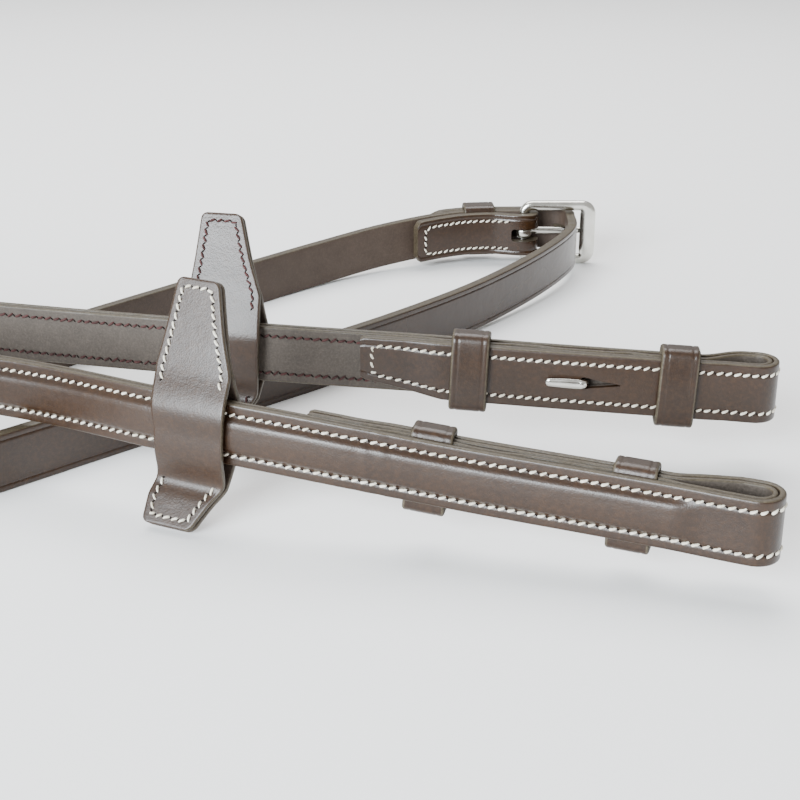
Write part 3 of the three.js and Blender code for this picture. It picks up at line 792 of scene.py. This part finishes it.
def lining_ring(station, places):
    lift = thickened(station.from_fold, places) * LAYER_ROOM if station.run == "main" else 0.0
    near = -HALF_GAP - lift
    low, high = edges(station)
    outline, _ = lining_profile(high - low)
    middle = (low + high) / 2
    return [station.place(near - through, middle + across) for across, through in outline]


# ---- frames on a strap ----

class StrapFrame:
    """Frame on the strap: x to the grain side, y up from the lower edge, z along the strap."""

    def __init__(self, seam, grain, from_fold):
        along = seam.length + FOLD_OUTSIDE - from_fold
        tangent = unit(seam.at(along + 0.5) - seam.at(along - 0.5))
        self.origin = seam.at(along)
        self.x = unit(np.array([-tangent[1], tangent[0], 0]) * grain)
        self.y = np.cross(tangent, self.x) * grain
        self.z = np.cross(self.x, self.y)
        self.toward_bit = grain

    def place(self, points):
        points = np.asarray(points, float)
        return self.origin + points @ np.array([self.x, self.y, self.z])

    def turn(self, directions):
        return np.asarray(directions, float) @ np.array([self.x, self.y, self.z])


def rounded_loop(x0, x1, y0, y1, radius, corner_steps=6, side_steps=8):
    """Points round a rectangle with round corners, the same number on every rectangle."""
    corners = [(x1 - radius, y0 + radius, -90), (x1 - radius, y1 - radius, 0),
               (x0 + radius, y1 - radius, 90), (x0 + radius, y0 + radius, 180)]
    points = []
    for k, (x, y, start) in enumerate(corners):
        for angle in np.radians(np.linspace(start, start + 90, corner_steps + 1)):
            points.append((x + radius * math.cos(angle), y + radius * math.sin(angle)))
        x_next, y_next, start_next = corners[(k + 1) % 4]
        angle = math.radians(start_next)
        goal = (x_next + radius * math.cos(angle), y_next + radius * math.sin(angle))
        last = points[-1]
        for share in np.linspace(0, 1, side_steps + 2)[1:-1]:
            points.append((lerp(last[0], goal[0], share), lerp(last[1], goal[1], share)))
    return np.array(points)


def add_keeper(name, on, inner, web, walls, length, bow, node):
    """Leather loop round the strap: inner is its hole as x0, x1, y0, y1, web is its thickness over the
    strap's edges, walls are those over its faces, and one of the faces is bowed out."""
    x0, x1, y0, y1 = inner
    inside = rounded_loop(x0, x1, y0, y1, KEEPER_INNER_CORNER)
    outside = rounded_loop(x0 - walls[0], x1 + walls[1], y0 - web, y1 + web, KEEPER_OUTER_CORNER)
    middle = (y0 + y1) / 2
    swell = np.clip(1 - ((inside[:, 1] - middle) / (y1 - middle)) ** 2, 0, 1) * abs(bow)
    side = inside[:, 0] < (x0 + x1) / 2 if bow < 0 else inside[:, 0] > (x0 + x1) / 2
    push = np.where(side, swell * np.sign(bow), 0.0)
    inside[:, 0] += push
    outside[:, 0] += push
    outline, zones = slab_profile(length, 1.0, KEEPER_EDGE, grooves=(KEEPER_GROOVE,))
    rings = []
    for near, far in zip(inside, outside):
        rings.append(on.place([(*(near + (far - near) * through), across) for across, through in outline]))
    piece = loft(name, rings, zones, [GRAIN, EDGE, FLESH], closed=True)
    place_piece(piece, "reins", "chocolate_leather", node)


# ---- stitching ----

draw = np.random.default_rng(11)
STITCH_SIDES = 7
STITCH_STEPS = np.linspace(-1, 1, 7)
STITCH_SLANT = 0.36
STITCH_ARCH = 0.32
STITCH_SINK = 0.05
HOLE_SIDES = 8
HOLE_SHEAR = 0.9
HOLE_REACH = 0.58
HOLE_BREADTH = 0.25
HOLE_RINGS = ((-0.1, 1.0), (0.13, 0.85))      # height and relative size of its foot and its rim


def tube_faces(base, rings, sides):
    """Faces of a capped tube whose rings of points start at base."""
    faces = []
    for ring in range(rings - 1):
        near = base + ring * sides
        for j in range(sides):
            k = (j + 1) % sides
            faces.append((near + j, near + k, near + sides + k, near + sides + j))
    faces.append(tuple(base + j for j in range(sides)))
    faces.append(tuple(base + (rings - 1) * sides + j for j in range(sides)))
    return faces


def pick(table, along, where):
    """Row of a table at a distance, between the rows that lie at the distances along."""
    return np.array([np.interp(where, along, axis) for axis in table.T])


def sew(name, runs, look, slot, body, pitch=2.34, length=1.8, radius=0.37, unevenness=0.06):
    """Slanted stitches along runs, with a near-black mark of painted shade for the needle hole between each
    two. A run is a row of points with the leather's normal at each."""
    points, faces = [], []
    hole_points, hole_faces = [], []
    for path, normals in runs:
        path = np.asarray(path, float)
        normals = np.asarray(normals, float)
        along = distances(path)
        count = max(int(along[-1] / pitch), 1)
        for number in range(count):
            middle = (number + 0.5 + unevenness / 2 * draw.standard_normal()) * along[-1] / count
            forward = unit(pick(path, along, middle + 0.3) - pick(path, along, middle - 0.3))
            normal = unit(pick(normals, along, middle))
            across = np.cross(normal, forward)
            slant = STITCH_SLANT + unevenness * draw.standard_normal()
            size = length * (1 + unevenness * draw.standard_normal())
            faces += tube_faces(len(points), len(STITCH_STEPS), STITCH_SIDES)
            for step in STITCH_STEPS:
                spine = pick(path, along, middle + step * size / 2) + across * slant * step
                spine = spine + normal * (STITCH_ARCH * (1 - step**2) - STITCH_SINK)
                thick = radius * (0.5 + 0.5 * math.sqrt(1 - step**4))
                for x, y in circle(STITCH_SIDES):
                    points.append(spine + (across * x + normal * y) * thick)
            hole = pick(path, along, middle + pitch / 2)
            tilt = unit(across - forward * HOLE_SHEAR)
            beside = np.cross(normal, tilt)
            # Painted shade: each needle hole is a flat near-black lens on the surface, not a real opening.
            hole_faces += tube_faces(len(hole_points), len(HOLE_RINGS), HOLE_SIDES)
            for lift, spread in HOLE_RINGS:
                for x, y in circle(HOLE_SIDES):
                    rim = tilt * x * HOLE_REACH + beside * y * HOLE_BREADTH
                    hole_points.append(hole + rim * spread + normal * lift)
    piece = add_piece(name, points, faces, [0] * len(faces), [look])
    place_piece(piece, body, slot)
    hole_shade_marks = add_piece(f"{name}_holes", hole_points, hole_faces, [0] * len(hole_faces), [PAINTED_HOLE_SHADE])
    place_piece(hole_shade_marks, body, "chocolate_leather")


def grain_row(stations, upper):
    """One row of stitches on the grain face, STITCH_INSET in from the lower or the upper edge."""
    path = []
    for station in stations:
        low, high = edges(station)
        scale = (high - low) / STRAP_WIDTH
        height = grain_height(station, STITCH_INSET, scale) - wrinkle_depth(station, 0)
        up = high - STITCH_INSET * scale if upper else low + STITCH_INSET * scale
        path.append(station.place(height, up))
    return path


def grain_loop(stations):
    """Both rows on the grain face, joined by a row across the last station's end."""
    rows = grain_row(stations, False), grain_row(stations, True)
    last = stations[-1]
    onward = unit(last.point - stations[-2].point) * 0.9
    across = [lerp(rows[0][-1], rows[1][-1], share) + onward for share in np.linspace(0.1, 0.9, 9)]
    path = rows[0][:-1] + across + rows[1][-2::-1]
    sides = [station.side for station in stations]
    normals = sides[:-1] + [last.side] * len(across) + sides[-2::-1]
    return path, normals


def lining_rows(stations, places):
    runs = []
    for up in (STITCH_INSET, STRAP_WIDTH - STITCH_INSET):
        path = []
        for station in stations:
            face = HALF_GAP + thickened(station.from_fold, places) * LAYER_ROOM + LINING_THICKNESS
            path.append(station.place(-face, up))
        runs.append((path, [-station.side for station in stations]))
    return runs


# ---- rein stops ----

CURVE_STEPS = 24


def centripetal(knots, per_span):
    """Centripetal Catmull-Rom curve through the knots."""
    knots = np.array(knots, float)
    knots = np.vstack([2 * knots[0] - knots[1], knots, 2 * knots[-1] - knots[-2]])
    points = []
    for p0, p1, p2, p3 in zip(knots, knots[1:], knots[2:], knots[3:]):
        d0, d1, d2 = [np.linalg.norm(b - a) ** 0.5 for a, b in ((p0, p1), (p1, p2), (p2, p3))]
        t1 = ((p1 - p0) / d0 - (p2 - p0) / (d0 + d1) + (p2 - p1) / d1) * d1
        t2 = ((p2 - p1) / d1 - (p3 - p1) / (d1 + d2) + (p3 - p2) / d2) * d1
        for share in np.arange(per_span) / per_span:
            bend = (-3 * p1 + 3 * p2 - 2 * t1 - t2) * share**2 + (2 * p1 - 2 * p2 + t1 + t2) * share**3
            points.append(p1 + t1 * share + bend)
    return np.array([*points, knots[-2]])


def stop_curve(side, lean):
    """Middle line of one sheet of a stop in its strap frame, top to bottom, with its half widths and
    how far its middle sways to the bit."""
    strap_face = HALF_GAP + FRONT_THICKNESS + RAISE if side > 0 else -HALF_GAP - LINING_THICKNESS
    room = STOP_ROOM["front" if side > 0 else "back"]
    belly = strap_face + side * (room + STOP_THICKNESS / 2)
    apart = side * (STOP_GAP / 2 + STOP_THICKNESS / 2)

    def flap(end, reach):
        root_x, beyond = STOP_ROOTS["grain" if end * lean > 0 else "flesh"]
        angle = STOP_LEAN if end > 0 else STOP_SPLAY
        root = STRAP_WIDTH / 2 + end * (STRAP_WIDTH / 2 + beyond)
        x = root_x + apart * math.cos(angle) + end * lean * reach * math.sin(angle)
        return x, root + end * reach * math.cos(angle) - apart * lean * math.sin(angle)

    knots = [flap(1, STOP_TOP), flap(1, 14), flap(1, 4.4), (belly, 13.5), (belly, 8), (belly, 2.5),
             flap(-1, 4), flap(-1, 9), flap(-1, STOP_BOTTOM)]
    curve = centripetal(knots, CURVE_STEPS)
    share = np.arange(len(curve)) / CURVE_STEPS
    halves = np.interp(share, range(len(knots)), STOP_HALF_WIDTHS)
    sway = np.interp(share, range(len(knots)), STOP_SWAY)
    return curve, halves, sway


class StopSheet:
    """One sheet of a stop in its strap frame, looked up by the distance from its upper end."""

    def __init__(self, side, lean):
        self.curve, self.halves, self.sway = stop_curve(side, lean)
        self.sway = self.sway * lean
        self.along = distances(self.curve)
        self.length = self.along[-1]
        self.outward = 1
        if self.facing(self.length / 2)[0] * side < 0:
            self.outward = -1

    def facing(self, where):
        x, y = unit(pick(self.curve, self.along, where + 0.4) - pick(self.curve, self.along, where - 0.4))
        return np.array([y, -x]) * self.outward

    def half_width(self, where):
        return float(np.interp(where, self.along, self.halves))

    def spot(self, where, across, out):
        """Point on the sheet: across from its middle, and out from its middle layer."""
        x, y = pick(self.curve, self.along, where) + self.facing(where) * out
        return x, y, float(np.interp(where, self.along, self.sway)) + across

    def ring(self, where):
        from_end = min(where, self.length - where)
        half = self.half_width(where) - roll(from_end, STOP_CORNER)
        outline, zones = slab_profile(half * 2, STOP_THICKNESS, STOP_EDGE, face_steps=9)
        flat = 1 - roll(from_end, 0.45) / 0.45 * 0.55
        half_thickness = STOP_THICKNESS / 2
        ring = [self.spot(where, across, (through - half_thickness) * flat) for across, through in outline]
        return ring, zones

    def seam(self, first, last):
        """Row of stitches down one side, across the end at first and back up the other side."""
        rows = {-1: [], 1: []}
        for where in np.linspace(last, first, 40):
            for row in rows:
                across = row * (self.half_width(where) - STOP_STITCH_INSET)
                rows[row].append((self.spot(where, across, STOP_THICKNESS / 2), (*self.facing(where), 0)))
        low, high = rows[-1], rows[1]
        (start, normal), (end, _) = low[-1], high[-1]
        shares = np.linspace(0.12, 0.88, 9)
        across = [(lerp(np.array(start), np.array(end), share), normal) for share in shares]
        return low[:-1] + across + high[-2::-1]


def add_stop(name, on, side, lean, body, look, slot, node):
    sheet = StopSheet(side, lean)
    places = [*STOP_END_STEPS, *np.linspace(2.4, sheet.length - 2.4, 70)]
    places += [sheet.length - step for step in reversed(STOP_END_STEPS)]
    rings = []
    for where in places:
        ring, zones = sheet.ring(where)
        rings.append(on.place(ring))
    piece = loft(name, rings, zones, [GRAIN, EDGE, FLESH])
    place_piece(piece, body, "chocolate_leather", node)

    bottom = [sheet.length - distance for distance in STOP_BOTTOM_SEAM]
    runs = []
    for run in (sheet.seam(*STOP_TOP_SEAM), sheet.seam(*bottom)):
        runs.append((on.place([point for point, _ in run]), on.turn([normal for _, normal in run])))
    sew(f"{name}_stitches", runs, look, slot, body, pitch=2.05, length=1.65, radius=0.34)


# ---- one rein ----

KEYHOLE_RADIUS = 1.65
SLIT_OUTLINE = [(2.2, -1.2), (9.4, -0.14), (9.4, 0.14), (2.2, 1.2)]
SHANK_HOLE = 1.4
BAR_SIDES = 20
BAR_POWER = 0.85
HOOK_REACH = 10.3
HOOK_BEND = 1.1


def slit_cutter(studs):
    """Keyhole for the hook: a round end at the shank and a slit towards the bit."""
    outline = []
    for turn in np.radians(np.linspace(90, 270, 13)):
        outline.append((KEYHOLE_RADIUS * math.cos(turn), KEYHOLE_RADIUS * math.sin(turn)))
    outline += SLIT_OUTLINE
    middle = STRAP_WIDTH / 2
    rings = []
    for x in (BILLET_GRAIN - 2, BETWEEN_LININGS):
        rings.append(studs.place([(x, middle + up, along * studs.toward_bit) for along, up in outline]))
    return loft("slit_cutter", rings, [0] * len(outline), [GRAIN])


def shank_cutter(studs):
    """Round hole in the lining for the hook's shank."""
    outline = [(STRAP_WIDTH / 2 + SHANK_HOLE * up, SHANK_HOLE * along) for up, along in circle(20)]
    rings = [studs.place([(x, *point) for point in outline]) for x in (BETWEEN_LININGS, -0.5)]
    return loft("shank_cutter", rings, [1] * len(outline), [GRAIN, EDGE])


def box_cutter(x0, x1, y0, y1, half_height):
    centre = STRAP_LIFT + STRAP_WIDTH / 2
    rings = []
    for y in (HEEL[1] + y0, HEEL[1] + y1):
        outline = rounded_loop(HEEL[0] + x0, HEEL[0] + x1, centre - half_height, centre + half_height, 1.2)
        rings.append([(x, y, z) for x, z in outline])
    return loft("box_cutter", rings, [1] * len(rings[0]), [GRAIN, EDGE])


def add_bar(name, spine, half_widths, half_depths, up, body, node):
    """Metal bar along a spine; up is the direction of its width."""
    spine = np.asarray(spine, float)
    up = unit(np.asarray(up, float))
    rings = []
    for i, centre in enumerate(spine):
        run = unit(spine[min(i + 1, len(spine) - 1)] - spine[max(i - 1, 0)])
        out = np.cross(run, up)
        ring = []
        for wide, deep in squared_circle(BAR_SIDES, BAR_POWER):
            ring.append(centre + up * (wide * half_widths[i]) + out * (deep * half_depths[i]))
        rings.append(ring)
    piece = loft(name, rings, [0] * BAR_SIDES, [METAL])
    place_piece(piece, body, "nickel_metal", node)


def rounded_tip(past, radius):
    """Share of a bar's thickness left at a distance past the place where its tip begins."""
    return math.sqrt(max(1 - (max(past, 0) / radius) ** 2, 0.02))


def add_hook_stud(name, studs):
    """Bent metal hook: a shank through the lining and the slit, and a bar that points to the hand."""
    bar_x = BILLET_GRAIN - 0.95
    spine = [(x, 0) for x in np.linspace(-0.35, bar_x + HOOK_BEND, 8)]
    for turn in np.linspace(0, math.pi / 2, 9)[1:]:
        spine.append((bar_x + HOOK_BEND * (1 - math.sin(turn)), -HOOK_BEND * (1 - math.cos(turn))))
    spine += [(bar_x, -distance) for distance in np.linspace(HOOK_BEND, HOOK_REACH, 22)[1:]]
    widths, depths, points = [], [], []
    for x, along in spine:
        on_bar = ease(0.2, 1.4, -along)
        rounding = rounded_tip(-along - (HOOK_REACH - 1.1), 1.12)
        widths.append(lerp(1.15, lerp(1.35, 1.15, ease(4.0, HOOK_REACH, -along)), on_bar) * rounding)
        depths.append(lerp(1.05, 0.62, on_bar) * rounding)
        points.append((x, STRAP_WIDTH / 2, along * studs.toward_bit))
    add_bar(f"{name}_hook", studs.place(points), widths, depths, studs.y, "reins", f"{name}_hook_stud")


def add_rein(name, stations, seam, grain, hole):
    studs = StrapFrame(seam, grain, STUD_PLACE)
    strap = loft(f"{name}_leather", [strap_ring(s) for s in stations], strap_zones(), [GRAIN, EDGE, FLESH])
    cut_with(strap, slit_cutter(studs))
    cut_with(strap, hole)
    place_piece(strap, "reins", "chocolate_leather", f"{name}_strap")

    lined = [s for s in stations if s.from_fold is not None and lined_share(s) > 0.999]
    _, zones = lining_profile(STRAP_WIDTH)
    places = [*KEEPER_PLACES[name].values(), STUD_PLACE]
    lining = loft(f"{name}_back", [lining_ring(s, places) for s in lined], zones, [LINING, EDGE, LINING])
    cut_with(lining, slit_cutter(studs))
    cut_with(lining, shank_cutter(studs))
    place_piece(lining, "reins", "lining_leather", f"{name}_lining")

    for node, look in ((f"{name}_filler", FILLER), (f"{name}_stud_plate", METAL)):
        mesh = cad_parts[node].data
        mesh.materials.clear()
        mesh.materials.append(look)

    low = -KEEPER_ROOM - KEEPER_SAG[name]
    high = STRAP_WIDTH + KEEPER_ROOM - KEEPER_SAG[name]
    hole_box = (BILLET_GRAIN - 0.3, -HALF_GAP - LAYER_INSERT, low, high)
    walls = (KEEPER_WALL, LAYER_INSERT)
    for keeper, place in KEEPER_PLACES[name].items():
        on = StrapFrame(seam, grain, place)
        add_keeper(f"{name}_{keeper}_loop", on, hole_box, KEEPER_WALL, walls, KEEPER_LENGTH, KEEPER_BOW,
                   f"{name}_{keeper}")
    add_hook_stud(name, studs)

    sewn = [s for s in lined if s.run != "billet" or s.from_fold < BILLET_LENGTH - 3.2]
    sew(f"{name}_grain_stitches", [grain_loop(sewn)], WHITE_THREAD, "white_thread", "reins")
    backed = [s for s in lined if s.run == "main" and s.from_fold > 13]
    sew(f"{name}_lining_stitches", lining_rows(backed, places), BROWN_THREAD, "brown_thread", "reins",
        radius=0.34, unevenness=0.12)

    stop = StrapFrame(seam, grain, STOP_PLACES[name])
    body = f"{name}_stop"
    add_stop(f"{body}_front_sheet", stop, 1, grain, body, WHITE_THREAD, "white_thread", f"{body}_front")
    add_stop(f"{body}_back_sheet", stop, -1, grain, body, BROWN_THREAD, "brown_thread", f"{body}_back")


# ---- buckle ----

def add_buckle_frame():
    """Slim heel bar, two arms and a broad far bar, with rounded sections all the way round."""
    half_depth = BUCKLE_DEPTH / 2
    x0, x1 = 0.0, BUCKLE_LENGTH - half_depth - FAR_BAR / 2
    z0, z1 = BUCKLE_ARM / 2, BUCKLE_HEIGHT - BUCKLE_ARM / 2
    path = rounded_loop(x0, x1, z0, z1, 3.2, corner_steps=10, side_steps=14)
    rings = []
    count = len(path)
    for i, (x, z) in enumerate(path):
        run = unit(path[(i + 1) % count] - path[i - 1])
        out = np.array([run[1], -run[0]])
        upright = abs(run[1])
        far = ease(x1 - 4.5, x1 - 0.5, x)
        half = lerp(lerp(BUCKLE_ARM / 2, half_depth, upright * (1 - far)), FAR_BAR / 2, far * upright)
        ring = []
        for wide, deep in squared_circle(18, 0.8):
            across = out * (wide * half)
            ring.append((HEEL[0] + x + across[0], HEEL[1] + deep * half_depth, z + across[1]))
        rings.append(ring)
    piece = loft("buckle_bars", rings, [0] * len(rings[0]), [METAL], closed=True)
    place_piece(piece, "reins", "nickel_metal", "buckle_frame")


EYE_RADIUS = 2.75
EYE_STEPS = 40
PRONG_FROM = 1.2
PRONG_REACH = 27.6


def add_buckle_prong():
    """Flat wire curled round the heel bar and drawn out to a rounded tip on the far bar."""
    spine = []
    for turn in np.radians(np.linspace(-235, 80, EYE_STEPS)):
        spine.append((EYE_RADIUS * math.cos(turn), EYE_RADIUS * math.sin(turn)))
    start = spine[-1]
    for x in np.linspace(PRONG_FROM, PRONG_REACH, 30):
        sag = 0.12 * math.sin(math.pi * ease(PRONG_FROM, PRONG_REACH, x))
        spine.append((x, lerp(start[1], 2.95, ease(0, 6, x)) - sag))
    half_heights, half_depths = [], []
    for i, (x, _) in enumerate(spine):
        on_bar = ease(0.5, 4.5, x) if i >= EYE_STEPS else 0.0
        rounding = rounded_tip(x - 26.4, 1.25)
        half_heights.append(lerp(1.65, lerp(1.35, 1.15, ease(5, 27, x)), on_bar) * rounding)
        half_depths.append(lerp(0.52, 0.85, on_bar) * rounding)
    centre = STRAP_LIFT + STRAP_WIDTH / 2
    points = [(HEEL[0] + x, HEEL[1] + y, centre) for x, y in spine]
    add_bar("prong_wire", points, half_heights, half_depths, (0, 0, 1), "prong", "buckle_prong")


def add_hand_keeper():
    room = HAND_KEEPER_ROOM
    point_grain = TIP_OFFSET + HALF_GAP + FRONT_THICKNESS
    on = StrapFrame(buckle_seam, -1, buckle_seam.length + FOLD_OUTSIDE - HAND_KEEPER_PLACE)
    hole_box = (-PLAIN_DEPTH - room, point_grain + room, -room, STRAP_WIDTH + room)
    add_keeper("hand_keeper_loop", on, hole_box, HAND_KEEPER_WEB, HAND_KEEPER_WALLS, HAND_KEEPER_LENGTH,
               HAND_KEEPER_BOW, "hand_keeper")


add_camera()
add_studio()

chape_slot = box_cutter(*CHAPE_SLOT)
prong_hole = box_cutter(*PRONG_HOLE)
buckle_stations = buckle_rein_stations(buckle_seam)
point_stations = point_rein_stations(point_seam, buckle_seam)
add_rein("buckle_rein", buckle_stations, buckle_seam, -1, chape_slot)
add_rein("point_rein", point_stations, point_seam, 1, prong_hole)

chape = [s for s in buckle_stations if s.run == "chape" and 3.0 < s.from_tip < CHAPE_LENGTH - 8][::-1]
sew("chape_stitches", [grain_loop(chape)], WHITE_THREAD, "white_thread", "reins")
add_buckle_frame()
add_buckle_prong()
add_hand_keeper()
